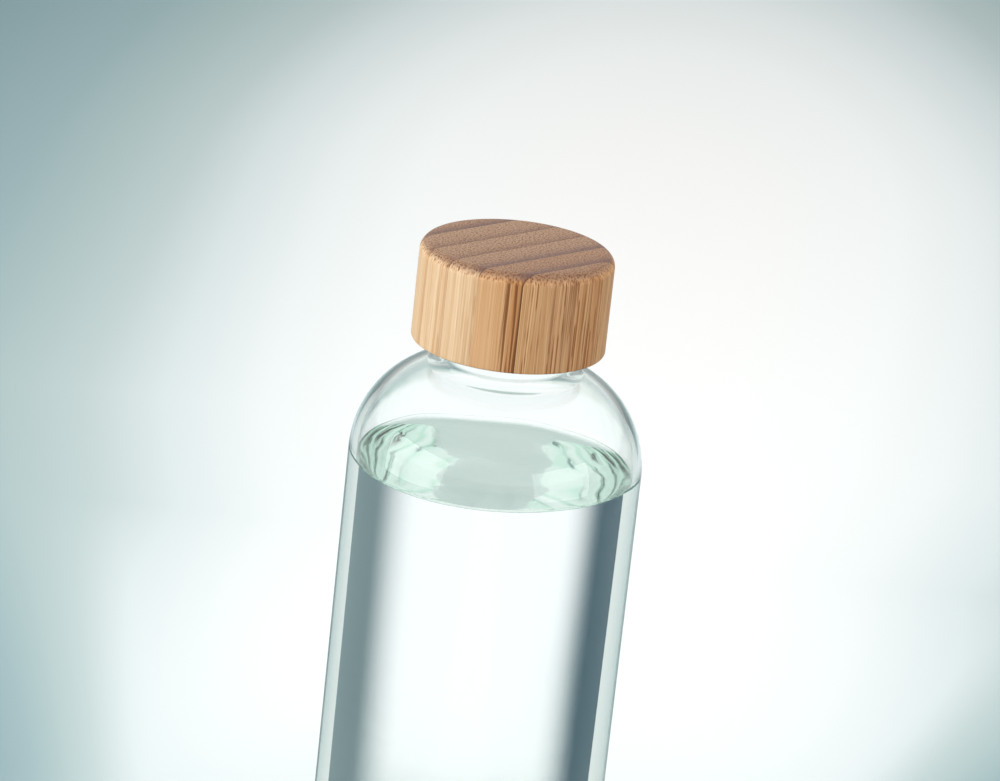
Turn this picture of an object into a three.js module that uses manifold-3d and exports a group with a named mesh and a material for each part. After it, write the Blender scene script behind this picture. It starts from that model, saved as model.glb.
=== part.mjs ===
// Glass water bottle with a screw-on bamboo lid.
// Millimetres, +Z up. The origin is the centre of the base, on the surface the bottle stands on.
//
// The pieces, from the outside in:
//   glass_bottle      one blown borosilicate body with its neck, lip and outside thread
//   bamboo_strip_1-6  the strips that are glued side by side and turned to make the lid
//   thread_insert     the moulded lining of the lid, with the inside thread
//   silicone_gasket   the flat ring that the lid presses on the lip

import * as THREE from 'three';
import { mergeVertices } from 'three/addons/utils/BufferGeometryUtils.js';
import Module from 'manifold-3d';

// Whole object
const overallHeight = 220;
const bodyDiameter = 65;

// Glass body
const wallThickness = 1.8;
const baseThickness = 4;
const heelRadius = 5;
const innerHeelRadius = 6;
const footRingWidth = 6;        // the flat ring it stands on, around the hollow underside
const puntDepth = 2.6;
const floorCrown = 1.6;         // how far the inside floor rises at its middle
const shoulderRadius = 23;
const neckFilletRadius = 2.5;
const neckDiameter = 32;
const neckWall = 2.1;
const neckShowing = 3.34;       // straight neck between the shoulder fillet and the lid
const lipRounding = 0.75;

// Screw thread, right-handed, one start
const threadLead = 4;
const threadTurns = 1.25;
const threadHeight = 1.2;
const threadBaseWidth = 2.4;
const threadCrestWidth = 1.0;
const threadRunOut = 35 * Math.PI / 180;
const threadRoot = 0.5;         // how far a ridge is rooted in its wall
const crestClearance = 0.3;
const rootClearance = 0.35;
const flankClearance = 0.25;

// Lid
const lidHeight = 22.2;
const lidTopThickness = 4.5;
const lidWall = 2.25;
const lidTopRounding = 2.64;
const lidRimRounding = 0.5;
const insertWall = 1.5;
const insertTopThickness = 1.4;
const insertRecess = 0.5;       // the insert stops short of the bamboo rim
const insertLeadIn = 0.4;
const insertFit = 0.15;         // glue space around the insert
const insertSeat = 0.1;         // glue space above the insert

// Bamboo strips, with seams in planes of constant y
const stripCount = 6;
const stripWidth = 7.7;
const middleSeam = -1.1;        // the blank isn't centred on its middle seam
const glueLine = 0.04;

// Gasket
const gasketThickness = 1.8;
const gasketOverhang = 1.3;     // how far the ring reaches in past the glass bore
const gasketSideGap = 0.3;
const gasketSeat = 0.05;
const bossClearance = 0.3;
const bossHeight = 1;

// Facets
const roundSides = 48;
const arcStep = 12 * Math.PI / 180;

// Places that follow from the sizes
const bodyRadius = bodyDiameter / 2;
const neckRadius = neckDiameter / 2;
const boreRadius = neckRadius - neckWall;
const puntRadius = bodyRadius - heelRadius - footRingWidth;
const lidRimHeight = overallHeight - lidHeight;
const cavityTop = overallHeight - lidTopThickness;
const insertTop = cavityTop - insertSeat;
const gasketTop = insertTop - insertTopThickness;
const gasketBottom = gasketTop - gasketThickness;
const mouthHeight = gasketBottom - gasketSeat;
const insertBottom = lidRimHeight + insertRecess;
const insertBore = neckRadius + threadHeight + crestClearance;
const insertRadius = insertBore + insertWall;
const cavityRadius = insertRadius + insertFit;
const lidRadius = cavityRadius + lidWall;
const gasketInner = boreRadius - gasketOverhang;
const gasketOuter = insertBore - gasketSideGap;
const flankSlope = (threadBaseWidth - threadCrestWidth) / (2 * threadHeight);

const wasm = await Module();
wasm.setup();

// Turns a closed geometry into a solid that can be cut and joined.
function toSolid(geometry) {
  const bare = geometry.clone();
  bare.deleteAttribute('normal');
  bare.deleteAttribute('uv');
  const merged = mergeVertices(bare);
  const mesh = new wasm.Mesh({
    numProp: 3,
    vertProperties: new Float32Array(merged.attributes.position.array),
    triVerts: new Uint32Array(merged.index.array),
  });
  return new wasm.Manifold(mesh);
}

// Turns a cut or joined solid back into a geometry.
function toGeometry(solid) {
  const mesh = solid.getMesh();
  const geometry = new THREE.BufferGeometry();
  geometry.setAttribute('position', new THREE.BufferAttribute(mesh.vertProperties, 3));
  geometry.setIndex(new THREE.BufferAttribute(mesh.triVerts, 1));
  geometry.computeVertexNormals();
  return geometry;
}

// Points of an arc in the (radius, height) plane, both ends included.
function arc(centreR, centreZ, radius, fromAngle, toAngle) {
  const steps = Math.max(2, Math.ceil(Math.abs(toAngle - fromAngle) / arcStep));
  const points = [];
  for (let i = 0; i <= steps; i += 1) {
    const angle = fromAngle + (toAngle - fromAngle) * i / steps;
    points.push(point(centreR + radius * Math.cos(angle), centreZ + radius * Math.sin(angle)));
  }
  return points;
}

// Points of a shallow dome, from the axis at the top of its rise out to its edge.
function dome(edgeR, edgeZ, rise) {
  const steps = 4;
  const radius = (edgeR * edgeR + rise * rise) / (2 * rise);
  const points = [];
  for (let i = 0; i <= steps; i += 1) {
    const r = edgeR * i / steps;
    points.push(point(r, edgeZ + rise - radius + Math.sqrt(radius * radius - r * r)));
  }
  return points;
}

function point(r, z) {
  return new THREE.Vector2(r, z);
}

// Spins an outline about +Z. The outline runs with its material on the left.
function revolve(outline) {
  const geometry = new THREE.LatheGeometry(outline, roundSides);
  geometry.rotateX(Math.PI / 2);
  return geometry;
}

// The shoulder is an arc that meets the body wall and, through a fillet, the neck.
// offset moves it inwards for the inside of the wall.
function shoulderOutline(offset, neckR) {
  const centreR = bodyRadius - shoulderRadius;
  const filletR = neckRadius + neckFilletRadius;
  const outside = shoulderRadius + neckFilletRadius;
  const filletZ = lidRimHeight - neckShowing;
  const centreZ = filletZ - Math.sqrt(outside ** 2 - (filletR - centreR) ** 2);
  const arcRadius = shoulderRadius - offset;
  const fillet = filletR - neckR;
  const rise = Math.sqrt((arcRadius + fillet) ** 2 - (filletR - centreR) ** 2);
  const angle = Math.atan2(rise, filletR - centreR);
  return [
    ...arc(centreR, centreZ, arcRadius, 0, angle),
    ...arc(filletR, centreZ + rise, fillet, angle + Math.PI, Math.PI).slice(1),
  ];
}

// The bottle's section, from the middle of its underside round to the middle of its floor.
function bottleOutline() {
  const innerRadius = bodyRadius - wallThickness;
  const innerHeelZ = baseThickness + innerHeelRadius;
  const right = Math.PI / 2;
  return [
    ...dome(puntRadius, 0, puntDepth),
    ...arc(bodyRadius - heelRadius, heelRadius, heelRadius, -right, 0),
    ...shoulderOutline(0, neckRadius),
    ...arc(neckRadius - lipRounding, mouthHeight - lipRounding, lipRounding, 0, right),
    ...arc(boreRadius + lipRounding, mouthHeight - lipRounding, lipRounding, right, 2 * right),
    ...shoulderOutline(wallThickness, boreRadius).reverse(),
    ...arc(innerRadius - innerHeelRadius, innerHeelZ, innerHeelRadius, 0, -right),
    ...dome(innerRadius - innerHeelRadius, baseThickness, floorCrown).reverse().slice(1),
  ];
}

// One ridge of thread, rooted in a wall and running up a right-hand helix.
// side is 1 on the outside of a neck and -1 on the inside of a lid.
function threadRidge(wallRadius, side, reach, baseWidth, startZ) {
  const total = threadTurns * 2 * Math.PI;
  const steps = Math.ceil(threadTurns * roundSides);
  const sunk = 0.1;
  const positions = [];
  for (let i = 0; i <= steps; i += 1) {
    const angle = total * i / steps;
    const toEnd = Math.min(angle, total - angle) / threadRunOut;
    const taper = THREE.MathUtils.smoothstep(toEnd, 0, 1);
    const height = (reach + sunk) * taper - sunk;
    const middle = startZ + threadLead * angle / (2 * Math.PI);
    const rootHalf = baseWidth / 2;
    const crestHalf = rootHalf - flankSlope * Math.max(height, 0);
    const rootR = wallRadius - side * threadRoot;
    const crestR = wallRadius + side * height;
    const corners = [[rootR, -rootHalf], [crestR, -crestHalf], [crestR, crestHalf], [rootR, rootHalf]];
    if (side < 0) corners.reverse();
    for (const [r, dz] of corners) positions.push(r * Math.cos(angle), r * Math.sin(angle), middle + dz);
  }
  const index = [0, 1, 2, 0, 2, 3];
  for (let i = 0; i < steps; i += 1) {
    for (let k = 0; k < 4; k += 1) {
      const here = 4 * i + k;
      const next = 4 * i + (k + 1) % 4;
      index.push(here, here + 4, next + 4, here, next + 4, next);
    }
  }
  const last = 4 * steps;
  index.push(last, last + 2, last + 1, last, last + 3, last + 2);
  const geometry = new THREE.BufferGeometry();
  geometry.setAttribute('position', new THREE.Float32BufferAttribute(positions, 3));
  geometry.setIndex(index);
  return geometry;
}

// The space between two turns of the neck's ridge, less the clearance on both flanks,
// gives the lid's ridge its width.
function lidRidgeWidth() {
  const reach = insertBore - neckRadius - rootClearance;
  const gapAtNeck = threadLead - threadBaseWidth;
  const gapAtCrest = gapAtNeck + 2 * flankSlope * rootClearance;
  return gapAtCrest - 2 * flankClearance + 2 * flankSlope * reach;
}

// The lid's ridge starts just inside the insert; the neck's runs half a lead above it.
function lidRidgeStart() {
  return insertBottom + insertLeadIn + lidRidgeWidth() / 2;
}

function glassBottle() {
  const body = toSolid(revolve(bottleOutline()));
  const startZ = lidRidgeStart() + threadLead / 2;
  const ridge = toSolid(threadRidge(neckRadius, 1, threadHeight, threadBaseWidth, startZ));
  return toGeometry(body.add(ridge));
}

function threadInsert() {
  const bossRadius = gasketInner - bossClearance;
  const outline = [
    point(0, gasketTop - bossHeight),
    point(bossRadius, gasketTop - bossHeight),
    point(bossRadius, gasketTop),
    point(insertBore, gasketTop),
    point(insertBore, insertBottom + insertLeadIn),
    point(insertBore + insertLeadIn, insertBottom),
    point(insertRadius, insertBottom),
    point(insertRadius, insertTop),
    point(0, insertTop),
  ];
  const reach = insertBore - neckRadius - rootClearance;
  const ridge = threadRidge(insertBore, -1, reach, lidRidgeWidth(), lidRidgeStart());
  return toGeometry(toSolid(revolve(outline)).add(toSolid(ridge)));
}

function siliconeGasket() {
  return revolve([
    point(gasketInner, gasketBottom),
    point(gasketOuter, gasketBottom),
    point(gasketOuter, gasketTop),
    point(gasketInner, gasketTop),
    point(gasketInner, gasketBottom),
  ]);
}

// The turned bamboo cap before it is divided at its glue seams.
function bambooShell() {
  const right = Math.PI / 2;
  const outline = [
    point(0, cavityTop),
    point(cavityRadius, cavityTop),
    point(cavityRadius, lidRimHeight),
    ...arc(lidRadius - lidRimRounding, lidRimHeight + lidRimRounding, lidRimRounding, -right, 0),
    ...arc(lidRadius - lidTopRounding, overallHeight - lidTopRounding, lidTopRounding, 0, right),
    point(0, overallHeight),
  ];
  return toSolid(revolve(outline));
}

// Strip number 0 is the front one, at the most negative y. The two end strips run out to
// the lid's edge.
function bambooStrip(shell, number) {
  const past = lidRadius + 1;
  const seam = (n) => middleSeam + (n - stripCount / 2) * stripWidth;
  const low = number === 0 ? -past : seam(number) + glueLine / 2;
  const high = number === stripCount - 1 ? past : seam(number + 1) - glueLine / 2;
  const slab = new THREE.BoxGeometry(2 * past, high - low, lidHeight + 2);
  slab.translate(0, (low + high) / 2, lidRimHeight + lidHeight / 2);
  return toGeometry(shell.intersect(toSolid(slab)));
}

function addPiece(parent, name, geometry, look) {
  const mesh = new THREE.Mesh(geometry, new THREE.MeshStandardMaterial(look));
  mesh.name = name;
  parent.add(mesh);
}

const bottle = new THREE.Group();

addPiece(bottle, 'glass_bottle', glassBottle(), {
  color: 0xdcebe6, roughness: 0.05, metalness: 0, transparent: true, opacity: 0.35,
});

const lid = new THREE.Group();
bottle.add(lid);
const shell = bambooShell();
const bambooColours = [0xd9b98a, 0xcfab7a, 0xc89f6e, 0xd3b081, 0xcaa473, 0xd6b686];
for (let number = 0; number < stripCount; number += 1) {
  const colour = bambooColours[number % bambooColours.length];
  addPiece(lid, `bamboo_strip_${number + 1}`, bambooStrip(shell, number), {
    color: colour, roughness: 0.6, metalness: 0,
  });
}
addPiece(lid, 'thread_insert', threadInsert(), { color: 0xf2f1ec, roughness: 0.45, metalness: 0 });
addPiece(lid, 'silicone_gasket', siliconeGasket(), { color: 0xe6e8e6, roughness: 0.7, metalness: 0 });

export default bottle;
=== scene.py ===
import math

import bmesh
import bpy
from bpy.props import FloatProperty, FloatVectorProperty, IntProperty, PointerProperty
from mathutils import Matrix, Vector, noise


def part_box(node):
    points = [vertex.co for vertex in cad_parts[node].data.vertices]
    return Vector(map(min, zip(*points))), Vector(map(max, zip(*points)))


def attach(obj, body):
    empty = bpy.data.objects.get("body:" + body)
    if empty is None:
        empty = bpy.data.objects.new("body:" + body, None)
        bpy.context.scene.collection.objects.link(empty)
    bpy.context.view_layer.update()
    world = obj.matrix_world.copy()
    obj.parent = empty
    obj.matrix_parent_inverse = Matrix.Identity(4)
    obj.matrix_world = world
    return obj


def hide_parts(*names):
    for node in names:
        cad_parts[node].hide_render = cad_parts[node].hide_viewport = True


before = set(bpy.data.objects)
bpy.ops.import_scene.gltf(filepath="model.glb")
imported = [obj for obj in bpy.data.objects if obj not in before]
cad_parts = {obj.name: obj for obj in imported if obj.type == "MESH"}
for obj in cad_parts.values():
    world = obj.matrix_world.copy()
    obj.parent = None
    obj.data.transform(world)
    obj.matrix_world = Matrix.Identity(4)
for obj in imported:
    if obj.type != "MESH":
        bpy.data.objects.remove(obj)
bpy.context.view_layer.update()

bl_info = {
    "name": "Glass Water Bottle",
    "version": (1, 0, 0),
    "blender": (4, 5, 0),
    "location": "3D View > Sidebar > Bottle",
    "description": "Glass, water, bamboo lid, lid lining and gasket of a water bottle",
    "category": "Object",
}

MM = 0.001
GLASS_IOR = 1.47
WATER_IOR = 1.333
DEPTH = "depth_in_water"

# Places that the fixed frame gives, in metres
GLASS_LOW, GLASS_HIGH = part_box("glass_bottle")
INSERT_LOW, INSERT_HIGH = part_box("thread_insert")
GASKET_LOW, GASKET_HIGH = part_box("silicone_gasket")
STRIPS = sorted(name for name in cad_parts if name.startswith("bamboo_strip"))
STRIP_BOXES = [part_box(name) for name in STRIPS]
LID_RADIUS = max(high.x for low, high in STRIP_BOXES)
LID_TOP = STRIP_BOXES[0][1].z
LID_RIM = STRIP_BOXES[0][0].z
BODY_RADIUS = GLASS_HIGH.x
MOUTH = GLASS_HIGH.z

# Sizes that have no setting of their own, in metres
GASKET_BORE = 12.6 * MM       # inner radius of the gasket
INSIDE_BEND = 1 * MM          # how much rounder the inner heel is than the outer one
FLOOR_CROWN = 1.6 * MM        # rise of the bottle's floor in its middle
NECK_RIDGE = 1.2 * MM         # height and half width of the neck's thread
LINING_RIDGE = 1.15 * MM      # height of the lining's thread
LINING_HALF_RIDGE = 1.4 * MM  # half width of the lining's thread
LEAD_IN = 0.4 * MM            # chamfer at the lining's open end


# ---------------------------------------------------------------- settings

class GlassSettings(bpy.types.PropertyGroup):
    """Sizes and finish of the glass body."""
    wall: FloatProperty(
        name="Wall", description="Thickness of the body's wall",
        default=1.8 * MM, subtype="DISTANCE", unit="LENGTH")
    base: FloatProperty(
        name="Base", description="Thickness of the base above the ring it stands on",
        default=4 * MM, subtype="DISTANCE", unit="LENGTH")
    heel: FloatProperty(
        name="Heel", description="Rounding between the wall and the base",
        default=5 * MM, subtype="DISTANCE", unit="LENGTH")
    shoulder: FloatProperty(
        name="Shoulder", description="Radius of the shoulder's arc",
        default=23 * MM, subtype="DISTANCE", unit="LENGTH")
    neck_radius: FloatProperty(
        name="Neck radius", description="Outside radius of the neck",
        default=16 * MM, subtype="DISTANCE", unit="LENGTH")
    neck_wall: FloatProperty(
        name="Neck wall", description="Thickness of the neck's wall",
        default=2.1 * MM, subtype="DISTANCE", unit="LENGTH")
    neck_fillet: FloatProperty(
        name="Neck fillet", description="Hollow fillet between shoulder and neck",
        default=2.5 * MM, subtype="DISTANCE", unit="LENGTH")
    neck_showing: FloatProperty(
        name="Neck showing", description="Straight neck between the fillet and the lid",
        default=3.34 * MM, subtype="DISTANCE", unit="LENGTH")
    edge_tint: FloatVectorProperty(
        name="Edge tint", description="Colour of light that has crossed the glass lengthways",
        default=(0.42, 0.80, 0.64), subtype="COLOR", min=0, max=1)
    tint_strength: FloatProperty(
        name="Tint strength", description="How fast the tint builds up, per metre of glass",
        default=27)


class WaterSettings(bpy.types.PropertyGroup):
    """Level and surface of the water."""
    level: FloatProperty(
        name="Level", description="Height of the still surface above the table",
        default=168.9 * MM, subtype="DISTANCE", unit="LENGTH")
    meniscus: FloatProperty(
        name="Meniscus", description="How far the water climbs up the glass",
        default=1.6 * MM, subtype="DISTANCE", unit="LENGTH")
    ripple: FloatProperty(
        name="Ripple", description="Height of the ripples on the surface",
        default=1.1 * MM, subtype="DISTANCE", unit="LENGTH")


class BambooSettings(bpy.types.PropertyGroup):
    """Grain and colours of the laminated bamboo."""
    bundle: FloatProperty(
        name="Fibre bundle", description="Distance between fibre bundles across the grain",
        default=0.58 * MM, subtype="DISTANCE", unit="LENGTH")
    rounding: FloatProperty(
        name="Top rounding", description="Rounding of the lid's top edge",
        default=2.64 * MM, subtype="DISTANCE", unit="LENGTH")
    rim_rounding: FloatProperty(
        name="Rim rounding", description="Rounding of the lid's lower edge",
        default=0.5 * MM, subtype="DISTANCE", unit="LENGTH")
    fibre_colour: FloatVectorProperty(
        name="Bundle colour", description="Colour of the dark fibre bundles",
        default=(0.275, 0.093, 0.022), subtype="COLOR", min=0, max=1)


class FittingSettings(bpy.types.PropertyGroup):
    """The lid's lining and its gasket."""
    lining_wall: FloatProperty(
        name="Lining wall", description="Thickness of the lining's skirt",
        default=1.5 * MM, subtype="DISTANCE", unit="LENGTH")
    lining_top: FloatProperty(
        name="Lining top", description="Thickness of the lining's disc",
        default=1.4 * MM, subtype="DISTANCE", unit="LENGTH")
    thread_lead: FloatProperty(
        name="Thread lead", description="Rise of the thread in one turn",
        default=4 * MM, subtype="DISTANCE", unit="LENGTH")
    thread_turns: FloatProperty(
        name="Thread turns", description="Length of the thread in turns", default=1.25)


class StageSettings(bpy.types.PropertyGroup):
    """Facets of the turned pieces, and the cards round the bottle."""
    sides: IntProperty(
        name="Turned sides", description="Facets round each turned piece", default=192)
    card_distance: FloatProperty(
        name="Card distance", description="From the bottle's axis to the upright cards",
        default=160 * MM, subtype="DISTANCE", unit="LENGTH")
    flag_height: FloatProperty(
        name="Flag height", description="Height of the two grey cards",
        default=128 * MM, subtype="DISTANCE", unit="LENGTH")
    reflector_height: FloatProperty(
        name="Reflector height", description="Height of the two white cards",
        default=200 * MM, subtype="DISTANCE", unit="LENGTH")
    sky_strength: FloatProperty(
        name="Sky strength", description="Strength of the even light from all round", default=0.5)


# ---------------------------------------------------------------- small tools

def linear(colour):
    """Turns an sRGB hex colour such as "C08040" into linear red, green, blue and alpha."""
    parts = [int(colour[i:i + 2], 16) / 255 for i in (0, 2, 4)]
    bent = [c / 12.92 if c <= 0.04045 else ((c + 0.055) / 1.055) ** 2.4 for c in parts]
    return (*bent, 1.0)


def add_node(tree, kind, inputs=(), stops=None, **settings):
    """Adds a shader node with its settings, and fills or links its inputs: by name or
    number from a dict, or in order from a tuple. A node stands for its first output."""
    node = tree.nodes.new("ShaderNode" + kind)
    for name, value in settings.items():
        setattr(node, name, value)
    if stops:
        ramp = node.color_ramp
        while len(ramp.elements) < len(stops):
            ramp.elements.new(0.5)
        for element, (place, colour) in zip(ramp.elements, stops):
            element.position = place
            element.color = colour
    for name, value in inputs.items() if isinstance(inputs, dict) else enumerate(inputs):
        if isinstance(value, bpy.types.Node):
            value = value.outputs[0]
        if isinstance(value, bpy.types.NodeSocket):
            tree.links.new(value, node.inputs[name])
        else:
            node.inputs[name].default_value = value
    return node


def new_material(name):
    """An empty material with its output node, as (material, node tree, output)."""
    material = bpy.data.materials.new(name)
    material.use_nodes = True
    tree = material.node_tree
    tree.nodes.clear()
    return material, tree, add_node(tree, "OutputMaterial")


def arc(centre_r, centre_z, radius, start, end, step=math.radians(3)):
    """Points of an arc in the (radius, height) plane, both ends included."""
    count = max(2, math.ceil(abs(end - start) / step))
    angles = [start + (end - start) * i / count for i in range(count + 1)]
    return [(centre_r + radius * math.cos(a), centre_z + radius * math.sin(a)) for a in angles]


def dome(edge, height, rise, count=16):
    """Points of a shallow dome from the axis out to its edge."""
    radius = (edge * edge + rise * rise) / (2 * rise)
    points = []
    for i in range(count + 1):
        r = edge * i / count
        points.append((r, height + rise - radius + math.sqrt(radius * radius - r * r)))
    return points


def rise(r, low, high, step):
    """Points straight up from low to high at one radius, neither end included."""
    count = max(1, round((high - low) / step))
    return [(r, low + (high - low) * i / count) for i in range(1, count)]


def spin(outline, sides, closed=False, shift=None):
    """A bmesh of an outline turned about +Z, with the material on the outline's left.
    shift(angle, r, z) gives how far a point moves outwards."""
    mesh = bmesh.new()
    rings = []
    for r, z in outline:
        if r < 1e-7:
            rings.append([mesh.verts.new((0, 0, z))])
            continue
        ring = []
        for i in range(sides):
            angle = 2 * math.pi * i / sides
            far = r + (shift(angle, r, z) if shift else 0)
            ring.append(mesh.verts.new((far * math.cos(angle), far * math.sin(angle), z)))
        rings.append(ring)
    following = rings[1:] + rings[:1] if closed else rings[1:]
    for low, high in zip(rings, following):
        for i in range(sides):
            j = (i + 1) % sides
            corners = [low[i % len(low)], low[j % len(low)],
                       high[j % len(high)], high[i % len(high)]]
            mesh.faces.new(list(dict.fromkeys(corners)))
    return mesh


def make_piece(name, mesh, material, body, slot, *nodes):
    """Turns a bmesh into a shown piece that rides on a body and stands for CAD nodes."""
    data = bpy.data.meshes.new(name)
    mesh.to_mesh(data)
    mesh.free()
    data.shade_smooth()
    data.set_sharp_from_angle(angle=math.radians(40))
    data.materials.append(material)
    piece = bpy.data.objects.new(name, data)
    bpy.context.scene.collection.objects.link(piece)
    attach(piece, body)
    if nodes:
        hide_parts(*nodes)
    return piece


def thread_height(angle, z, start, settings, half_width, reach):
    """Height of a rounded right-hand thread at a point of the wall it stands on."""
    lead = settings.thread_lead
    total = settings.thread_turns * 2 * math.pi
    run_out = math.radians(35)
    best = 0.0
    for turn in range(int(settings.thread_turns) + 1):
        along = angle + turn * 2 * math.pi
        if along > total:
            continue
        off = abs(z - start - lead * along / (2 * math.pi))
        if off < half_width:
            end = min(1.0, min(along, total - along) / run_out)
            taper = end * end * (3 - 2 * end)
            best = max(best, reach * taper * (0.5 + 0.5 * math.cos(math.pi * off / half_width)))
    return best


# ---------------------------------------------------------------- outlines

def shoulder_outline(glass, inset, neck):
    """The shoulder's arc and the fillet up to the neck, moved inwards by inset."""
    centre = BODY_RADIUS - glass.shoulder
    fillet_r = glass.neck_radius + glass.neck_fillet
    reach = glass.shoulder + glass.neck_fillet
    across = fillet_r - centre
    centre_z = LID_RIM - glass.neck_showing - math.sqrt(reach ** 2 - across ** 2)
    radius = glass.shoulder - inset
    fillet = fillet_r - neck
    up = math.sqrt((radius + fillet) ** 2 - across ** 2)
    angle = math.atan2(up, across)
    points = arc(centre, centre_z, radius, 0, angle, math.radians(2))
    return points + arc(fillet_r, centre_z + up, fillet, angle + math.pi, math.pi)[1:]


def inside_outline(glass, grow):
    """The inside of the bottle from the neck down to the middle of the floor.
    grow moves it outwards, into the glass."""
    radius = BODY_RADIUS - glass.wall + grow
    bend = glass.heel + INSIDE_BEND
    bore = glass.neck_radius - glass.neck_wall + grow
    shoulder = shoulder_outline(glass, glass.wall - grow, bore)
    shoulder.reverse()
    floor = glass.base - grow
    heel = arc(radius - bend, floor + bend, bend, 0, -math.pi / 2)
    wall = rise(radius, floor + bend, shoulder[-1][1], 4 * MM)
    wall.reverse()
    middle = dome(radius - bend, floor, FLOOR_CROWN)
    middle.reverse()
    return shoulder + wall + heel + middle[1:]


def bottle_outline(glass):
    """The whole section of the glass, from the middle of its underside to its floor."""
    right = math.pi / 2
    lip = 0.75 * MM
    bore = glass.neck_radius - glass.neck_wall
    foot_ring = 6 * MM
    hollow_rise = 2.6 * MM
    hollow = BODY_RADIUS - glass.heel - foot_ring
    shoulder = shoulder_outline(glass, 0, glass.neck_radius)
    inside = inside_outline(glass, 0)
    outline = dome(hollow, 0, hollow_rise)
    outline += arc(BODY_RADIUS - glass.heel, glass.heel, glass.heel, -right, 0)
    outline += rise(BODY_RADIUS, glass.heel, shoulder[0][1], 4 * MM)
    outline += shoulder
    outline += rise(glass.neck_radius, shoulder[-1][1], MOUTH - lip, 0.2 * MM)
    outline += arc(glass.neck_radius - lip, MOUTH - lip, lip, 0, right, math.radians(10))
    outline += arc(bore + lip, MOUTH - lip, lip, right, 2 * right, math.radians(10))
    down = rise(bore, inside[0][1], MOUTH - lip, 2 * MM)
    down.reverse()
    return outline + down + inside


# ---------------------------------------------------------------- materials

def clear_surface(tree, ior):
    """A perfectly smooth clear surface between two media."""
    return add_node(tree, "BsdfPrincipled", {
        "Base Color": linear("FFFFFF"), "Roughness": 0.0, "IOR": ior,
        "Transmission Weight": 1.0})


def glass_material(settings):
    """Borosilicate glass, flame-polished: clear and wet-smooth face on, and grey-green
    where light runs a long way inside the wall, as at its edges. Where water touches it
    the surface all but disappears, because the two bend light nearly alike."""
    material, tree, output = new_material("borosilicate_glass_polished")
    depth = add_node(tree, "Attribute", attribute_name=DEPTH).outputs["Fac"]
    wet = add_node(tree, "Math", (depth, 0.0), operation="GREATER_THAN")
    surface = add_node(tree, "MixShader", (
        wet, clear_surface(tree, GLASS_IOR), clear_surface(tree, GLASS_IOR / WATER_IOR)))
    inside = add_node(tree, "VolumeAbsorption", {
        "Color": (*settings.edge_tint, 1), "Density": settings.tint_strength})
    tree.links.new(surface.outputs[0], output.inputs["Surface"])
    tree.links.new(inside.outputs[0], output.inputs["Volume"])
    return material


def water_material():
    """Still drinking water: clear, with a mirror-like surface. Its sides have no surface
    of their own, because the glass's wet face already bends the light there."""
    material, tree, output = new_material("water_clear")
    depth = add_node(tree, "Attribute", attribute_name=DEPTH).outputs["Fac"]
    under = add_node(tree, "Math", (depth, 0.0), operation="GREATER_THAN")
    clear = add_node(tree, "BsdfTransparent")
    surface = add_node(tree, "MixShader", (
        under, clear_surface(tree, WATER_IOR), clear))
    tree.links.new(surface.outputs[0], output.inputs["Surface"])
    return material


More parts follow.
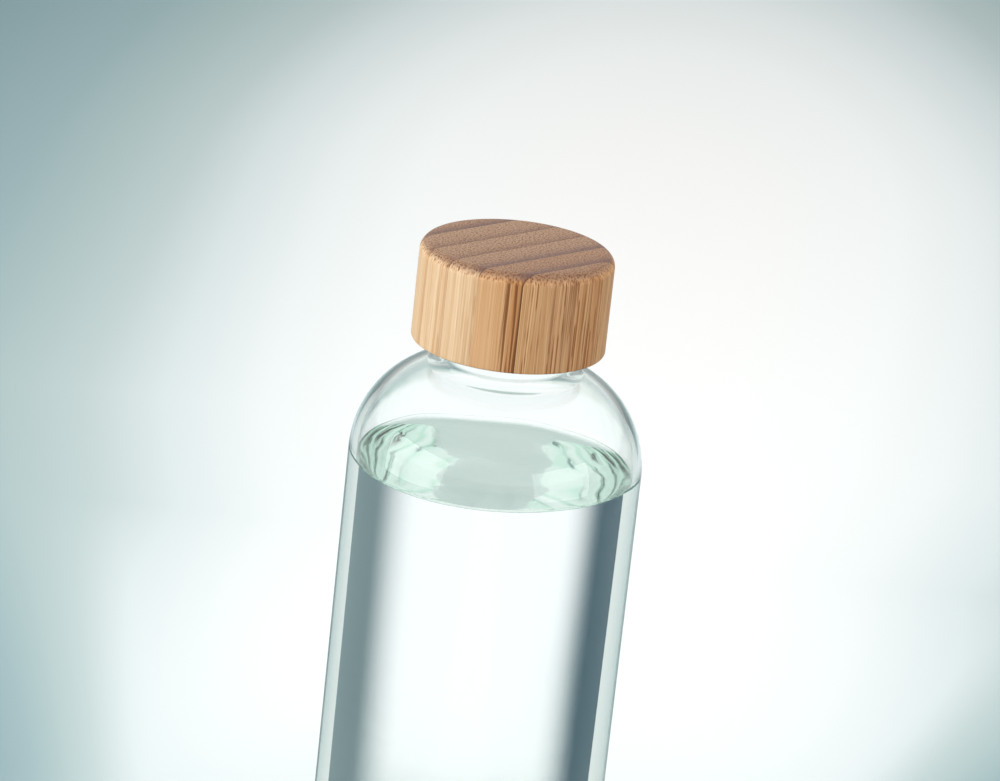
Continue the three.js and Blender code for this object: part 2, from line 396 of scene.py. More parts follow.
def bamboo_material(name, settings, low_y, high_y, pale, warm, dashes, scorch, band):
    """Laminated bamboo, turned and sanded under a thin matt oil. The fibres run up the
    lid: on its side they are fine lines and brown dashes, and on its top they are dots.
    Each strip was cut across the stalk's wall, so its bundles crowd towards one face."""
    material, tree, output = new_material(name)
    place = add_node(tree, "TexCoord").outputs["Object"]
    in_mm = add_node(tree, "VectorMath", (place, (1 / MM,) * 3), operation="MULTIPLY")
    # The fibres wander by about a quarter of a millimetre on their way up.
    slow = add_node(tree, "VectorMath", (in_mm, (0.25, 0.25, 0.03)), operation="MULTIPLY")
    wander = add_node(tree, "TexNoise", {
        "Vector": slow, "Scale": 1.0, "Detail": 1.0}).outputs["Color"]
    wander = add_node(tree, "VectorMath", (wander, (0.5, 0.5, 0.5)), operation="SUBTRACT")
    swayed = add_node(tree, "VectorMath", (wander, (0.9, 0.9, 0.0), in_mm),
                      operation="MULTIPLY_ADD")

    # Share of the way across the strip, from its dense face to its open one
    true_y = add_node(tree, "SeparateXYZ", (in_mm,)).outputs[1]
    soft_y = add_node(tree, "SeparateXYZ", (swayed,)).outputs[1]
    across = add_node(tree, "MapRange", (soft_y, low_y / MM, high_y / MM))
    dense = add_node(tree, "ValToRGB", (across,), stops=[
        (0.0, (1, 1, 1, 1)), (0.16, (0.75, 0.75, 0.75, 1)),
        (0.45, (0.33, 0.33, 0.33, 1)), (1.0, (0.08, 0.08, 0.08, 1))])

    # How far the surface is turned from the side, where fibres show lengthways, to the
    # top, where they are cut across
    facing = add_node(tree, "NewGeometry").outputs["Normal"]
    local = add_node(tree, "VectorTransform", (facing,), vector_type="NORMAL",
                     convert_from="WORLD", convert_to="OBJECT")
    up = add_node(tree, "SeparateXYZ", (local,)).outputs[2]
    turned = add_node(tree, "MapRange", (up, 0.15, 0.5), interpolation_type="SMOOTHSTEP")
    top = add_node(tree, "MapRange", (up, 0.3, 0.92), interpolation_type="SMOOTHSTEP")

    # Fibre bundles run the whole height. On the side each fades in and out along itself,
    # as the turned surface cuts it at a slant, and on the top each is a dot.
    bundles = add_node(tree, "TexVoronoi", {
        "Vector": swayed, "Scale": MM / settings.bundle, "Randomness": 0.8},
        feature="F1", voronoi_dimensions="2D")
    width = add_node(tree, "Math", (turned, 0.06, 0.22), operation="MULTIPLY_ADD")
    width = add_node(tree, "Math", (dense, 0.1, width), operation="MULTIPLY_ADD")
    reach = add_node(tree, "Math", (bundles, width), operation="DIVIDE")
    dots = add_node(tree, "MapRange", (reach, 1.5, 0.6), interpolation_type="SMOOTHSTEP")
    own = add_node(tree, "VectorMath", (bundles.outputs["Color"], (90, 90, 0)),
                   operation="MULTIPLY")
    rising = add_node(tree, "VectorMath", (in_mm, (0, 0, 0.1), own), operation="MULTIPLY_ADD")
    dash = add_node(tree, "TexNoise", {"Vector": rising, "Scale": 1.0, "Detail": 1.0})
    dash = add_node(tree, "MapRange", (dash, 0.47, 0.6), interpolation_type="SMOOTHSTEP")
    on_side = add_node(tree, "Math", (dense, 0.35, dashes), operation="MULTIPLY_ADD")
    on_side = add_node(tree, "Math", (dash, on_side), operation="MULTIPLY")
    on_top = add_node(tree, "Math", (dash, 0.45, 0.55), operation="MULTIPLY_ADD")
    change = add_node(tree, "Math", (on_top, on_side), operation="SUBTRACT")
    strength = add_node(tree, "Math", (change, turned, on_side), operation="MULTIPLY_ADD")
    specks = add_node(tree, "Math", (dots, strength), operation="MULTIPLY")

    # Noise drawn out along the grain: fine fibres about a fifth of a millimetre apart,
    # broad bands of colour, and the strands that crowd into dark lines
    drawn_out = []
    for per_mm, detail, roughness in ((4.2, 3.0, 0.65), (0.75, 3.0, 0.5), (1.5, 1.0, 0.5)):
        grid = add_node(tree, "VectorMath", (swayed, (per_mm, per_mm, 0.012)),
                        operation="MULTIPLY")
        drawn_out.append(add_node(tree, "TexNoise", {
            "Vector": grid, "Scale": 1.0, "Detail": detail, "Roughness": roughness}))
    fibres, bands, strands = drawn_out
    tone = add_node(tree, "Math", (bands, 0.55, -0.5), operation="MULTIPLY_ADD")
    tone = add_node(tree, "Math", (fibres, 1.35, tone), operation="MULTIPLY_ADD")
    tone = add_node(tree, "Math", (dense, 0.25, tone), operation="MULTIPLY_ADD")
    ground = add_node(tree, "ValToRGB", (tone,), stops=[
        (0.15, linear(pale)), (0.85, linear(warm))]).outputs[0]

    # Dark lines where the fibres crowd at the dense face, a stain round them, and a
    # hairline of glue. scorch says how strong they are on the side.
    crowd = add_node(tree, "Math", (dense, 0.55), operation="MULTIPLY")
    crowd = add_node(tree, "Math", (strands, 1.6, crowd), operation="MULTIPLY_ADD")
    crowd = add_node(tree, "Math", (fibres, 0.3, crowd), operation="MULTIPLY_ADD")
    marks = []
    for mark, on_side, on_top in (
            ((crowd, 1.36, 1.56), scorch, 0.3),
            ((dense, 0.55, 0.95), 0.4 * scorch, 0.1 * scorch),
            ((true_y, low_y / MM, low_y / MM + 0.3, 0.65, 0.0), scorch, 0.9)):
        mark = add_node(tree, "MapRange", mark, interpolation_type="SMOOTHSTEP")
        amount = add_node(tree, "Math", (turned, on_top - on_side, on_side),
                          operation="MULTIPLY_ADD")
        marks.append(add_node(tree, "Math", (mark, amount), operation="MULTIPLY"))
    lines, stain, hairline = marks

    # The bare ends of the fibres on the top are duller than their sides. This is partly painted
    # shade: it also darkens the top as if the lamps lit it less than the side.
    bare = add_node(tree, "Math", (top, 0.55), operation="MULTIPLY")
    seamed = ground
    for amount, paint in (
            (bare, linear("C9A98C")), (specks, (*settings.fibre_colour, 1)),
            (stain, linear("A9652C")), (lines, linear("7A4518")), (hairline, linear("4A2C1C"))):
        seamed = add_node(tree, "Mix", {0: amount, 6: seamed, 7: paint},
                          data_type="RGBA").outputs[2]

    # Cut across the fibres, the top takes up more oil and turns a dull brown mauve, darkest over
    # each strip's dense face. The mauve is partly painted shade too: it darkens the whole top as if
    # it were less lit than the side.
    soaked_and_shaded = add_node(tree, "Mix", {0: 1.0, 6: seamed, 7: linear("B5ABA8")},
                      data_type="RGBA", blend_type="MULTIPLY").outputs[2]
    narrow = add_node(tree, "Math", (dense, 1.8), operation="POWER")
    narrow = add_node(tree, "Math", (narrow, band), operation="MULTIPLY")
    banded = add_node(tree, "Mix", {0: narrow, 6: soaked_and_shaded, 7: linear("5A4241")},
                      data_type="RGBA").outputs[2]
    colour = add_node(tree, "Mix", {0: top, 6: seamed, 7: banded}, data_type="RGBA").outputs[2]

    rough = add_node(tree, "Math", (dots, 0.12, 0.46), operation="MULTIPLY_ADD")
    height = add_node(tree, "Math", (dots, -0.6, fibres), operation="MULTIPLY_ADD")
    bump = add_node(tree, "Bump", {
        "Height": height, "Strength": 0.3, "Distance": 0.06 * MM})
    shader = add_node(tree, "BsdfPrincipled", {
        "Base Color": colour, "Roughness": rough, "IOR": 1.5, "Specular IOR Level": 0.35,
        "Normal": bump})
    tree.links.new(shader.outputs[0], output.inputs["Surface"])
    return material


def lining_material():
    """Polypropylene, injection moulded: milky and waxy, with a soft even sheen."""
    material, tree, output = new_material("polypropylene_moulded")
    place = add_node(tree, "TexCoord").outputs["Object"]
    # Flow marks of a few millimetres and a fine satin grain of the mould
    flow = add_node(tree, "TexNoise", {
        "Vector": place, "Scale": 0.3 / MM, "Detail": 2.0}).outputs["Fac"]
    grain = add_node(tree, "TexNoise", {
        "Vector": place, "Scale": 6 / MM, "Detail": 2.0}).outputs["Fac"]
    colour = add_node(tree, "ValToRGB", {"Fac": flow}, stops=[
        (0.3, linear("E9E8E2")), (0.7, linear("F3F2ED"))]).outputs[0]
    rough = add_node(tree, "MapRange", {
        "Value": grain, "To Min": 0.34, "To Max": 0.5}).outputs[0]
    bump = add_node(tree, "Bump", {
        "Height": grain, "Strength": 0.15, "Distance": 0.02 * MM})
    shader = add_node(tree, "BsdfPrincipled", {
        "Base Color": colour, "Roughness": rough, "IOR": 1.49, "Subsurface Weight": 0.25,
        "Subsurface Radius": (1, 1, 1), "Subsurface Scale": 1.0 * MM, "Normal": bump.outputs[0]})
    tree.links.new(shader.outputs[0], output.inputs["Surface"])
    return material


def gasket_material():
    """Silicone rubber, moulded: translucent white with a dry, dusty bloom."""
    material, tree, output = new_material("silicone_rubber_translucent")
    place = add_node(tree, "TexCoord").outputs["Object"]
    bloom = add_node(tree, "TexNoise", {
        "Vector": place, "Scale": 1.2 / MM, "Detail": 3.0}).outputs["Fac"]
    colour = add_node(tree, "ValToRGB", {"Fac": bloom}, stops=[
        (0.3, linear("D6DAD8")), (0.7, linear("E4E7E5"))]).outputs[0]
    rough = add_node(tree, "MapRange", {
        "Value": bloom, "To Min": 0.55, "To Max": 0.75}).outputs[0]
    shader = add_node(tree, "BsdfPrincipled", {
        "Base Color": colour, "Roughness": rough, "IOR": 1.41, "Subsurface Weight": 0.6,
        "Subsurface Radius": (1, 1, 1), "Subsurface Scale": 1.5 * MM})
    tree.links.new(shader.outputs[0], output.inputs["Surface"])
    return material


# ---------------------------------------------------------------- pieces

class BOTTLE_OT_glass(bpy.types.Operator):
    """Makes the glass body with its rounded lip, thread and hollow base"""
    bl_idname = "bottle.glass"
    bl_label = "Glass Body"

    def execute(self, context):
        glass = context.scene.bottle_glass
        fitting = context.scene.bottle_fittings
        start = neck_thread_start(fitting)

        def shift(angle, r, z):
            if z < LID_RIM or r < glass.neck_radius - 1e-6:
                return 0.0
            return thread_height(angle, z, start, fitting, NECK_RIDGE, NECK_RIDGE)

        mesh = spin(bottle_outline(glass), context.scene.bottle_stage.sides, shift=shift)
        inside = BODY_RADIUS - glass.wall + 1e-6
        water = context.scene.bottle_water
        depth = mesh.verts.layers.float.new(DEPTH)
        for vert in mesh.verts:
            z = vert.co.z
            inner = vert.co.xy.length < inside and glass.base - 1e-6 < z < LID_RIM
            bare = z > MOUTH * 0.9 or not inner or is_outside(vert.co, glass)
            vert[depth] = -1 * MM if bare else water_height(vert.co, glass, water) - z
        make_piece("glass_body", mesh, glass_material(glass), "bottle", "glass", "glass_bottle")
        return {"FINISHED"}


def neck_thread_start(fitting):
    """Height where the neck's thread begins, half a lead above the lining's."""
    return lining_thread_start() + fitting.thread_lead / 2


def lining_thread_start():
    """Height where the lining's thread begins, just above its lead-in edge."""
    half_ridge = 1.425 * MM
    return INSERT_LOW.z + LEAD_IN + half_ridge


class BOTTLE_OT_water(bpy.types.Operator):
    """Fills the bottle with water that climbs a little up the glass and ripples"""
    bl_idname = "bottle.water"
    bl_label = "Water"

    def execute(self, context):
        glass = context.scene.bottle_glass
        water = context.scene.bottle_water
        sides = context.scene.bottle_stage.sides
        grow = 0.06 * MM      # the water reaches this far into the wall, so nothing is between
        wet = BODY_RADIUS - glass.wall + grow
        rim = water.level + water.meniscus
        below = [p for p in inside_outline(glass, grow) if p[1] < rim - 3 * MM]
        below.reverse()
        rows = 100
        edge = rim - 0.01 * MM      # the last ring of the side, just under the surface
        top = [(wet * (1 - (i / rows) ** 1.3), rim) for i in range(rows + 1)]
        mesh = spin(below + [(wet, edge)] + top, sides)
        depth = mesh.verts.layers.float.new(DEPTH)
        for vert in mesh.verts:
            place = vert.co.copy()
            vert[depth] = 1 * MM if place.z < rim - 0.005 * MM else -1 * MM
            if place.z > edge - 0.005 * MM:
                vert.co.z = water_height(place, glass, water) + place.z - rim
        make_piece("water_fill", mesh, water_material(), "bottle", "water")
        return {"FINISHED"}


def is_outside(place, glass):
    """Whether a point of the glass is on its outer face rather than its inner one."""
    x, y, z = place
    r = math.hypot(x, y)
    centre_r = BODY_RADIUS - glass.shoulder
    centre_z = LID_RIM - glass.neck_showing - math.sqrt(
        (glass.shoulder + glass.neck_fillet) ** 2
        - (glass.neck_radius + glass.neck_fillet - centre_r) ** 2)
    if z < centre_z:
        return r > BODY_RADIUS - glass.wall / 2
    return math.hypot(r - centre_r, z - centre_z) > glass.shoulder - glass.wall / 2


def water_height(place, glass, water):
    """Height of the water's surface above the table at a place."""
    wet = BODY_RADIUS - glass.wall
    gap = max(0.0, wet - math.hypot(place.x, place.y))
    climb = water.meniscus * math.exp(-gap / (1.3 * MM))
    return water.level + climb + ripple(place, wet) * water.ripple


def ripple(place, wet):
    """Height of the disturbed surface at a place, from about -1 to 1."""
    p = Vector((place.x, place.y, 0)) / MM
    long_waves = noise.noise(p / 19 + Vector((3, 1, 0)))
    short_waves = noise.noise(p / 8 + Vector((1, 6, 2)))
    creases = noise.ridged_multi_fractal(p / 15 + Vector((2, 9, 4)), 1.0, 2.0, 2, 1.0, 1.5) - 1.0
    rough = 0.5 + 0.5 * (place.x + place.y) / (1.42 * wet)      # one side is calmer
    return 0.8 * long_waves + (0.1 * short_waves + 0.08 * creases) * (0.3 + 0.7 * rough)


class BOTTLE_OT_bamboo(bpy.types.Operator):
    """Turns the lid and divides it into its glued bamboo strips"""
    bl_idname = "bottle.bamboo"
    bl_label = "Bamboo Strips"

    def execute(self, context):
        settings = context.scene.bottle_bamboo
        width = STRIP_BOXES[2][1].y - STRIP_BOXES[2][0].y
        # From the front strip to the back one: its lightest and darkest colour, and its
        # share of brown dashes, of dark lines at its dense face, and of dark top bands
        pale = ["D9AE7F", "DDB386", "E8CBA6", "EACEA9", "EBD0AC", "E6CAA2"]
        warm = ["AC713D", "BC824E", "CB9D6F", "CB9C6F", "CFA275", "C8996A"]
        dashes = [0.9, 0.1, 0.04, 0.06, 0.04, 0.06]
        scorch = [0.6, 0.95, 0.14, 0.1, 0.1, 0.1]
        band = [0.7, 0.85, 0.9, 0.35, 0.4, 0.9]
        lost_in_turning = 1 * MM      # of the front strip's dense face
        for number, (low, high) in enumerate(STRIP_BOXES):
            mesh = self.cut(settings, context.scene.bottle_stage.sides, number)
            low_y, high_y = high.y - width, high.y
            if number == 0:
                low_y = low.y - lost_in_turning
            if number == len(STRIPS) - 1:
                low_y, high_y = low.y, low.y + width
            material = bamboo_material(
                f"bamboo_laminated_oiled_{number + 1}", settings, low_y, high_y,
                pale[number], warm[number], dashes[number], scorch[number], band[number])
            make_piece(f"bamboo_slat_{number + 1}", mesh, material, "lid", "bamboo", STRIPS[number])
        return {"FINISHED"}

    def cut(self, settings, sides, number):
        """One strip: the whole turned cap, less what lies past its two glued faces."""
        right = math.pi / 2
        side_gap = 0.15 * MM
        top_gap = 0.1 * MM
        hollow = INSERT_HIGH.x + side_gap
        ceiling = INSERT_HIGH.z + top_gap
        outline = [(0, ceiling), (hollow, ceiling)]
        outline += list(reversed(rise(hollow, LID_RIM, ceiling, 3 * MM)))
        outline.append((hollow, LID_RIM))
        outline += arc(LID_RADIUS - settings.rim_rounding, LID_RIM + settings.rim_rounding,
                       settings.rim_rounding, -right, 0, math.radians(15))
        side_top = LID_TOP - settings.rounding
        outline += rise(LID_RADIUS, LID_RIM + settings.rim_rounding, side_top, 2 * MM)
        outline += arc(LID_RADIUS - settings.rounding, side_top, settings.rounding, 0, right)
        outline.append((0, LID_TOP))
        mesh = spin(outline, sides)
        low, high = STRIP_BOXES[number]
        if number > 0:
            slice_off(mesh, low.y, -1)
        if number < len(STRIPS) - 1:
            slice_off(mesh, high.y, 1)
        return mesh


def slice_off(mesh, y, side):
    """Cuts away everything past a plane of constant y, and closes the cut."""
    everything = mesh.verts[:] + mesh.edges[:] + mesh.faces[:]
    cut = bmesh.ops.bisect_plane(
        mesh, geom=everything, dist=1e-7, plane_co=(0, y, 0), plane_no=(0, side, 0),
        clear_outer=True)
    rim = [e for e in cut["geom_cut"] if isinstance(e, bmesh.types.BMEdge)]
    bmesh.ops.triangle_fill(mesh, use_beauty=True, use_dissolve=False, edges=rim)
    bmesh.ops.recalc_face_normals(mesh, faces=mesh.faces[:])


class BOTTLE_OT_lining(bpy.types.Operator):
    """Moulds the lid's threaded lining"""
    bl_idname = "bottle.lining"
    bl_label = "Thread Lining"

    def execute(self, context):
        fitting = context.scene.bottle_fittings
        outer = INSERT_HIGH.x
        bore = outer - fitting.lining_wall
        ceiling = INSERT_HIGH.z - fitting.lining_top
        boss_gap = 0.3 * MM
        boss = GASKET_BORE - boss_gap
        boss_low = ceiling - 1 * MM
        right = math.pi / 2
        soft = 0.25 * MM
        # A shallow dimple in the middle, then the boss that centres the gasket
        outline = dome(1.5 * MM, ceiling - 0.75 * MM, 0.2 * MM, 6)[:-1]
        outline += [(1.6 * MM, boss_low)]
        outline += arc(boss - soft, boss_low + soft, soft, -right, 0, math.radians(15))
        outline += [(boss, ceiling), (bore, ceiling)]
        down = rise(bore, INSERT_LOW.z + LEAD_IN, ceiling, 0.2 * MM)
        down.reverse()
        outline += down
        outline += [(bore, INSERT_LOW.z + LEAD_IN), (bore + LEAD_IN, INSERT_LOW.z)]
        outline += arc(outer - soft, INSERT_LOW.z + soft, soft, -right, 0, math.radians(15))
        outline += [(outer, INSERT_HIGH.z), (0, INSERT_HIGH.z)]
        start = lining_thread_start()

        def shift(angle, r, z):
            if abs(r - bore) > 1e-6 or z > ceiling - 1e-6:
                return 0.0
            return -thread_height(angle, z, start, fitting, LINING_HALF_RIDGE, LINING_RIDGE)

        mesh = spin(outline, context.scene.bottle_stage.sides, shift=shift)
        make_piece("lid_lining", mesh, lining_material(), "lid", "insert_plastic", "thread_insert")
        return {"FINISHED"}


class BOTTLE_OT_gasket(bpy.types.Operator):
    """Moulds the gasket with its rounded edges and two sealing beads"""
    bl_idname = "bottle.gasket"
    bl_label = "Gasket"

    def execute(self, context):
        outer = GASKET_HIGH.x
        inner = GASKET_BORE
        low, high = GASKET_LOW.z, GASKET_HIGH.z
        soft = 0.3 * MM
        bead = 0.15 * MM
        right = math.pi / 2
        small = math.radians(15)
        flat = low + bead
        outline = arc(inner + soft, flat + soft, soft, 2 * right, 3 * right, small)
        half_bead = 0.4 * MM
        for middle in (14.4 * MM, 15.7 * MM):
            for i in range(9):
                x = -1 + i / 4
                outline.append((middle + x * half_bead, flat - bead * (1 - x * x)))
        outline += arc(outer - soft, flat + soft, soft, -right, 0, small)
        outline += arc(outer - soft, high - soft, soft, 0, right, small)
        outline += arc(inner + soft, high - soft, soft, right, 2 * right, small)
        mesh = spin(outline, context.scene.bottle_stage.sides, closed=True)
        make_piece("sealing_ring", mesh, gasket_material(), "seal", "silicone", "silicone_gasket")
        return {"FINISHED"}


# ---------------------------------------------------------------- stage

VIEW_AZIMUTH = math.radians(-44.7)
VIEW_ELEVATION = math.radians(18.92)
VIEW_ROLL = math.radians(6.28)
VIEW_DISTANCE = 1087.4 * MM
AIM_HEIGHT = 186.5 * MM
AIM_LEFT = 0.575 * MM


def view_axes():
    """Unit vectors to the right of, above and back along the camera's level view."""
    back = Vector((math.sin(VIEW_AZIMUTH) * math.cos(VIEW_ELEVATION),
                   -math.cos(VIEW_AZIMUTH) * math.cos(VIEW_ELEVATION),
                   math.sin(VIEW_ELEVATION)))
    right = Vector((math.cos(VIEW_AZIMUTH), math.sin(VIEW_AZIMUTH), 0))
    return right, back.cross(right), back


def place_camera():
    """A long lens that looks down on the bottle and leans a little to the left."""
    right, up, back = view_axes()
    tilted_right = right * math.cos(VIEW_ROLL) + up * math.sin(VIEW_ROLL)
    tilted_up = up * math.cos(VIEW_ROLL) - right * math.sin(VIEW_ROLL)
    aim = Vector((0, 0, AIM_HEIGHT)) - AIM_LEFT * right
    data = bpy.data.cameras.new("camera")
    data.lens = 178.1
    data.sensor_width = 36
    data.clip_end = 30
    camera = bpy.data.objects.new("camera", data)
    camera.matrix_world = Matrix.Translation(aim + back * VIEW_DISTANCE) @ Matrix(
        (tilted_right, tilted_up, back)).transposed().to_4x4()
    bpy.context.scene.collection.objects.link(camera)
    bpy.context.scene.camera = camera


def stage_point(angle, distance, height):
    """A place round the bottle; angle 0 is straight behind it and positive is to the right."""
    right, _, back = view_axes()
    ahead = Vector((-back.x, -back.y, 0)).normalized()
    out = ahead * math.cos(angle) * distance + right * math.sin(angle) * distance
    return out + Vector((0, 0, height))


def soft_light(name, place, size, power, colour):
    """A square softbox that faces the middle of the visible bottle."""
    target = Vector((0, 0, 0.15))
    data = bpy.data.lights.new(name, "AREA")
    data.shape = "SQUARE"
    data.size = size
    data.energy = power
    data.color = linear(colour)[:3]
    light = bpy.data.objects.new(name, data)
    light.location = place
    light.rotation_mode = "QUATERNION"
    light.rotation_quaternion = (place - target).to_track_quat("Z", "Y")
    bpy.context.scene.collection.objects.link(light)
    return light


def floor_material():
    """Matt white paper with a painted pool of light behind the bottle, fading to a painted cool
    grey shade: the pool is in the paper's colour, not in the lamps.
    """
    material, tree, output = new_material("paper_painted_light_pool")
    place = add_node(tree, "TexCoord").outputs["Object"]
    right, ahead = add_node(tree, "SeparateXYZ", {0: place}).outputs[:2]
    # The pool is long, so its length is measured by the logarithm of the distance, and it
    # fades faster beyond its middle than before it.
    away = ahead
    for operation, number in (
            ("ADD", 0.1), ("MAXIMUM", 0.25), ("LOGARITHM", math.e), ("ADD", 0.127)):
        away = add_node(tree, "Math", (away, number), operation=operation)
    before = add_node(tree, "Math", (away, 1.525), operation="DIVIDE")
    beyond = add_node(tree, "Math", (away, 0.4915), operation="DIVIDE")
    along = add_node(tree, "Math", (before, beyond), operation="MAXIMUM")
    # Its middle line leans as it runs away, and it widens.
    side = add_node(tree, "Math", (away, -0.0443, right), operation="MULTIPLY_ADD")
    side = add_node(tree, "Math", (side, 0.0514), operation="SUBTRACT")
    width = add_node(tree, "MapRange", (ahead, 0.18, 0.5, 0.137, 0.194))
    across = add_node(tree, "Math", (side, width), operation="DIVIDE")
    across = add_node(tree, "Math", (across,), operation="ABSOLUTE")
    # Near the bottle the pool's sides are sharper.
    near = add_node(tree, "MapRange", (ahead, 0.4, 0.19))
    start = add_node(tree, "Math", (near, -0.2, 0.81), operation="MULTIPLY_ADD")
    past = add_node(tree, "Math", (across, start), operation="SUBTRACT")
    past = add_node(tree, "Math", (past, 0.0), operation="MAXIMUM")
    change = add_node(tree, "Math", (past, 2.2, -0.38), operation="MULTIPLY_ADD")
    across = add_node(tree, "Math", (near, change, across), operation="MULTIPLY_ADD")
    across = add_node(tree, "Math", (across, 0.0), operation="MAXIMUM")
    flat = add_node(tree, "CombineXYZ", (across, along))
    reach = add_node(tree, "VectorMath", (flat,), operation="LENGTH").outputs["Value"]
    share = add_node(tree, "Math", (reach, 0.25), operation="MULTIPLY")
    # The ramp paints the pool of light and the grey shade round it into the paper's colour.
    colour = add_node(tree, "ValToRGB", {"Fac": share}, stops=[
        (0.05, linear("EAE9E7")), (0.12, linear("E5E7E6")), (0.155, linear("DDE1E0")),
        (0.195, linear("CBD3D3")), (0.23, linear("B2C0BF")), (0.27, linear("A1B3B3")),
        (0.305, linear("93A8AB")), (0.385, linear("829A9E")), (0.6, linear("8C9EA1")),
        (1.0, linear("9DA9AA"))]).outputs[0]
    shader = add_node(tree, "BsdfDiffuse", {"Color": colour})
    clear = add_node(tree, "BsdfTransparent")
    under = add_node(tree, "NewGeometry").outputs["Backfacing"]
    both = add_node(tree, "MixShader", (under, shader, clear))
    tree.links.new(both.outputs[0], output.inputs["Surface"])
    return material


def card_material(name, colour, soft, top):
    """A studio card that glows with its colour instead of being lit, painted light or painted shade
    that only glass and polish see.
    It fades in from its inner edge over the soft share of its width, and out towards its upper edge
    above top."""
    material, tree, output = new_material(name)
    uv = add_node(tree, "TexCoord").outputs["UV"]
    sideways, upwards = add_node(tree, "SeparateXYZ", {0: uv}).outputs[:2]
    inner = add_node(tree, "MapRange", (sideways, 0.0, soft), interpolation_type="SMOOTHSTEP")
    upper = add_node(tree, "MapRange", (upwards, 1.0, top), interpolation_type="SMOOTHSTEP")
    cover = add_node(tree, "Math", (inner, upper), operation="MULTIPLY")
    # The card glows with its colour: painted light where it is pale, painted shade where it is
    # dark.
    glow = add_node(tree, "Emission", {"Color": linear(colour), "Strength": 1.0})
    clear = add_node(tree, "BsdfTransparent")
    mixed = add_node(tree, "MixShader", (cover, clear, glow))
    tree.links.new(mixed.outputs[0], output.inputs["Surface"])
    return material


def upright_card(name, start, end, height, material):
    """An upright card curved round the bottle between two angles in degrees."""
    mesh = bmesh.new()
    layer = mesh.loops.layers.uv.new("UVMap")
    count = 16
    distance = bpy.context.scene.bottle_stage.card_distance
    columns = []
    for i in range(count + 1):
        angle = math.radians(start + (end - start) * i / count)
        columns.append([mesh.verts.new(stage_point(angle, distance, z)) for z in (0.0, height)])
    for i, ((a, b), (c, d)) in enumerate(zip(columns, columns[1:])):
        face = mesh.faces.new((a, c, d, b))
        near, far = i / count, (i + 1) / count
        for loop, uv in zip(face.loops, ((near, 0), (far, 0), (far, 1), (near, 1))):
            loop[layer].uv = uv
    return stage_object(name, mesh, material)


def stage_object(name, mesh, material):
    """A card that shows in glass and polish but not to the camera."""
    data = bpy.data.meshes.new(name)
    mesh.to_mesh(data)
    mesh.free()
    data.materials.append(material)
    card = bpy.data.objects.new(name, data)
    bpy.context.scene.collection.objects.link(card)
    card.visible_camera = False
    card.visible_diffuse = False
    card.visible_shadow = False
    card.visible_volume_scatter = False
    return card


def round_card(name, place, radius, middle, rest, strength=1.0):
    """A level round card that glows with painted light and shade, one colour in the middle and
    another round it, that fades out over the last third of its radius."""
    material, tree, output = new_material(f"{name}_card")
    local = add_node(tree, "TexCoord").outputs["Object"]
    away = add_node(tree, "VectorMath", {0: local}, operation="LENGTH").outputs["Value"]
    share = add_node(tree, "Math", (away, 1 / radius), operation="MULTIPLY")
    paint = add_node(tree, "ValToRGB", {"Fac": share}, stops=[
        (0.13, linear(middle)), (0.167, linear(rest))]).outputs[0]
    glow = add_node(tree, "Emission", {"Color": paint, "Strength": strength})
    clear = add_node(tree, "BsdfTransparent")
    gone = add_node(tree, "MapRange", (share, 0.64, 1.0), interpolation_type="SMOOTHSTEP")
    mixed = add_node(tree, "MixShader", (gone, glow, clear))
    tree.links.new(mixed.outputs[0], output.inputs["Surface"])
    mesh = bmesh.new()
    bmesh.ops.create_circle(mesh, cap_ends=True, segments=64, radius=radius)
    card = stage_object(name, mesh, material)
    card.location = place
    return card


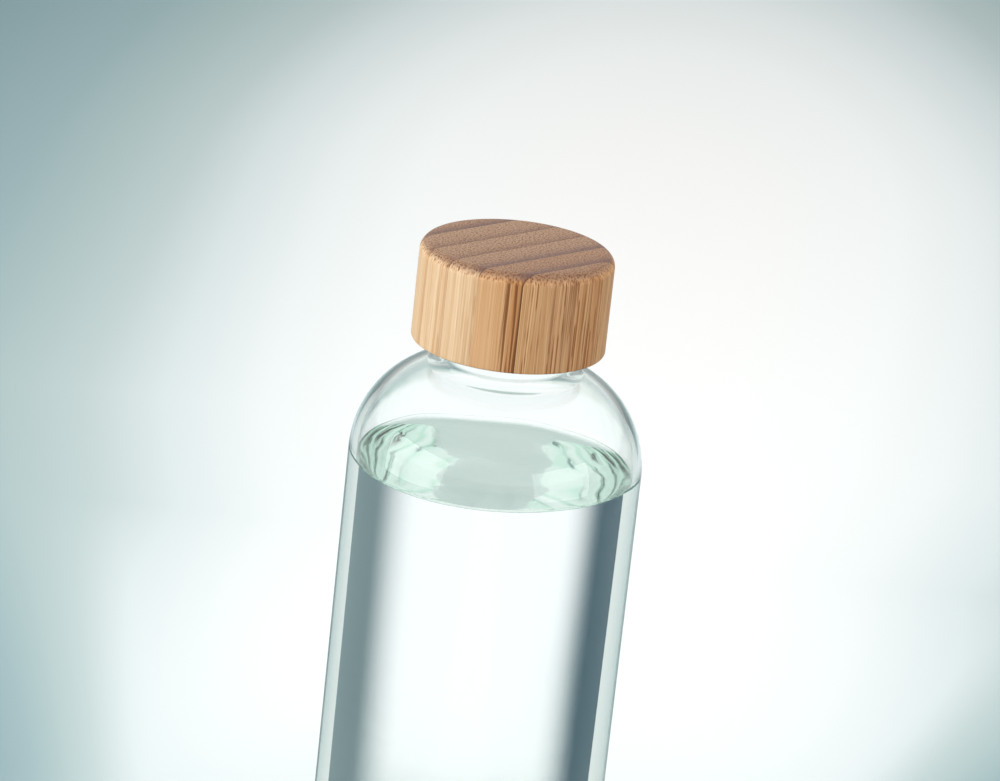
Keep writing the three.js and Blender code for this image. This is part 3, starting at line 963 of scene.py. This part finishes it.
class BOTTLE_OT_stage(bpy.types.Operator):
    """Sets out the pale floor, the soft lights, the cards and the camera"""
    bl_idname = "bottle.stage"
    bl_label = "Stage"

    def execute(self, context):
        self.lay_floor()
        self.hang_lights()
        self.set_cards(context.scene.bottle_stage)
        self.set_world(context.scene)
        place_camera()
        return {"FINISHED"}

    def lay_floor(self):
        """A level sheet just under the bottle, turned to run away from the camera."""
        mesh = bmesh.new()
        bmesh.ops.create_grid(mesh, x_segments=8, y_segments=8, size=6)
        data = bpy.data.meshes.new("floor")
        mesh.to_mesh(data)
        mesh.free()
        data.materials.append(floor_material())
        floor = bpy.data.objects.new("floor", data)
        floor.location.z = -0.05 * MM
        floor.rotation_euler.z = VIEW_AZIMUTH
        bpy.context.scene.collection.objects.link(floor)

    def hang_lights(self):
        """Two softboxes beside the camera, and a big one over the floor that only lights."""
        left_place = stage_point(math.radians(-115), 0.8, 0.4)
        right_place = stage_point(math.radians(125), 0.9, 0.35)
        left = soft_light("left_softbox", left_place, 0.85, 7.0, "FFFFFF")
        right = soft_light("right_softbox", right_place, 0.8, 5.0, "F8FBFF")
        overhead = soft_light("overhead_softbox", stage_point(0, 0.45, 1.7), 1.2, 21, "FFFFFF")
        overhead.visible_glossy = False
        for light in (left, right, overhead):
            light.visible_transmission = False

    def set_cards(self, settings):
        """Dark flags that glow with painted shade for the bands in the water, white cards that glow
        with painted light outside them for the bright edges, and level glowing cards of painted
        light and shade for the base, the shoulder and the view through the glass."""
        height = settings.flag_height
        # Grey sheets that glow with painted shade, seen in the glass as its dark bands.
        right_painted_shade = card_material("painted_shade_grey", "6F8489", 0.5, 0.85)
        left_painted_shade = card_material("painted_shade_blue_grey", "3F5866", 0.55, 0.85)
        upright_card("flag_right", 9, 35.5, height, right_painted_shade)
        upright_card("flag_left", -10, -32.3, height, left_painted_shade)
        # White sheets that glow with painted light, seen in the glass as its bright edges.
        white = card_material("painted_light_white", "EEF4F2", 0.6, 0.8)
        height = settings.reflector_height
        upright_card("painted_light_right", 92, 35.5, height, white).visible_glossy = False
        upright_card("painted_light_left", -92, -32.3, height, white).visible_glossy = False
        # Painted light under the base: white in the middle, with painted grey-green shade round it
        # for the shaded floor beside the bottle.
        round_card("base_light_and_shade", (0, 0, -0.02 * MM), 0.25, "FFFFFF", "C3D2CE")
        # A glowing sheet overhead: painted light that the glass and the bamboo mirror.
        round_card("ceiling_painted_light", (0, 0, 0.5), 3.2, "F4FBF8", "F4FBF8")
        # A painted pool of light behind the bottle that glows and shows only through the glass.
        behind = stage_point(math.radians(6), 0.52, 0.02 * MM)
        pool = round_card("pool_painted_light", behind, 0.33, "FFFFFF", "FAFCFE", 1.12)
        pool.visible_glossy = False

    def set_world(self, scene):
        """An even pale sky, and enough bounces for light to get through water and glass."""
        world = bpy.data.worlds.new("studio")
        world.use_nodes = True
        sky = world.node_tree.nodes["Background"]
        sky.inputs["Color"].default_value = linear("F2F6F6")
        sky.inputs["Strength"].default_value = scene.bottle_stage.sky_strength
        scene.world = world
        scene.view_settings.view_transform = "Standard"
        scene.cycles.max_bounces = 32
        scene.cycles.transmission_bounces = 32
        scene.cycles.glossy_bounces = 16
        scene.cycles.transparent_max_bounces = 64


# ---------------------------------------------------------------- add-on

class BOTTLE_PT_panel(bpy.types.Panel):
    """Lists the steps that make the bottle"""
    bl_idname = "BOTTLE_PT_panel"
    bl_label = "Glass Water Bottle"
    bl_space_type = "VIEW_3D"
    bl_region_type = "UI"
    bl_category = "Bottle"

    def draw(self, context):
        for operator in OPERATORS:
            self.layout.operator(operator.bl_idname)
        for name, group in SETTINGS.items():
            box = self.layout.box()
            for field in group.__annotations__:
                box.prop(getattr(context.scene, name), field)


SETTINGS = {
    "bottle_glass": GlassSettings,
    "bottle_water": WaterSettings,
    "bottle_bamboo": BambooSettings,
    "bottle_fittings": FittingSettings,
    "bottle_stage": StageSettings,
}
OPERATORS = (
    BOTTLE_OT_glass,
    BOTTLE_OT_water,
    BOTTLE_OT_bamboo,
    BOTTLE_OT_lining,
    BOTTLE_OT_gasket,
    BOTTLE_OT_stage,
)


def register():
    for group in (*SETTINGS.values(), *OPERATORS, BOTTLE_PT_panel):
        bpy.utils.register_class(group)
    for name, group in SETTINGS.items():
        setattr(bpy.types.Scene, name, PointerProperty(type=group))


def unregister():
    for name in SETTINGS:
        delattr(bpy.types.Scene, name)
    for group in (BOTTLE_PT_panel, *reversed(OPERATORS), *reversed(SETTINGS.values())):
        bpy.utils.unregister_class(group)


def main():
    register()
    bpy.ops.bottle.glass()
    bpy.ops.bottle.water()
    bpy.ops.bottle.bamboo()
    bpy.ops.bottle.lining()
    bpy.ops.bottle.gasket()
    bpy.ops.bottle.stage()


if __name__ == "__main__":
    main()
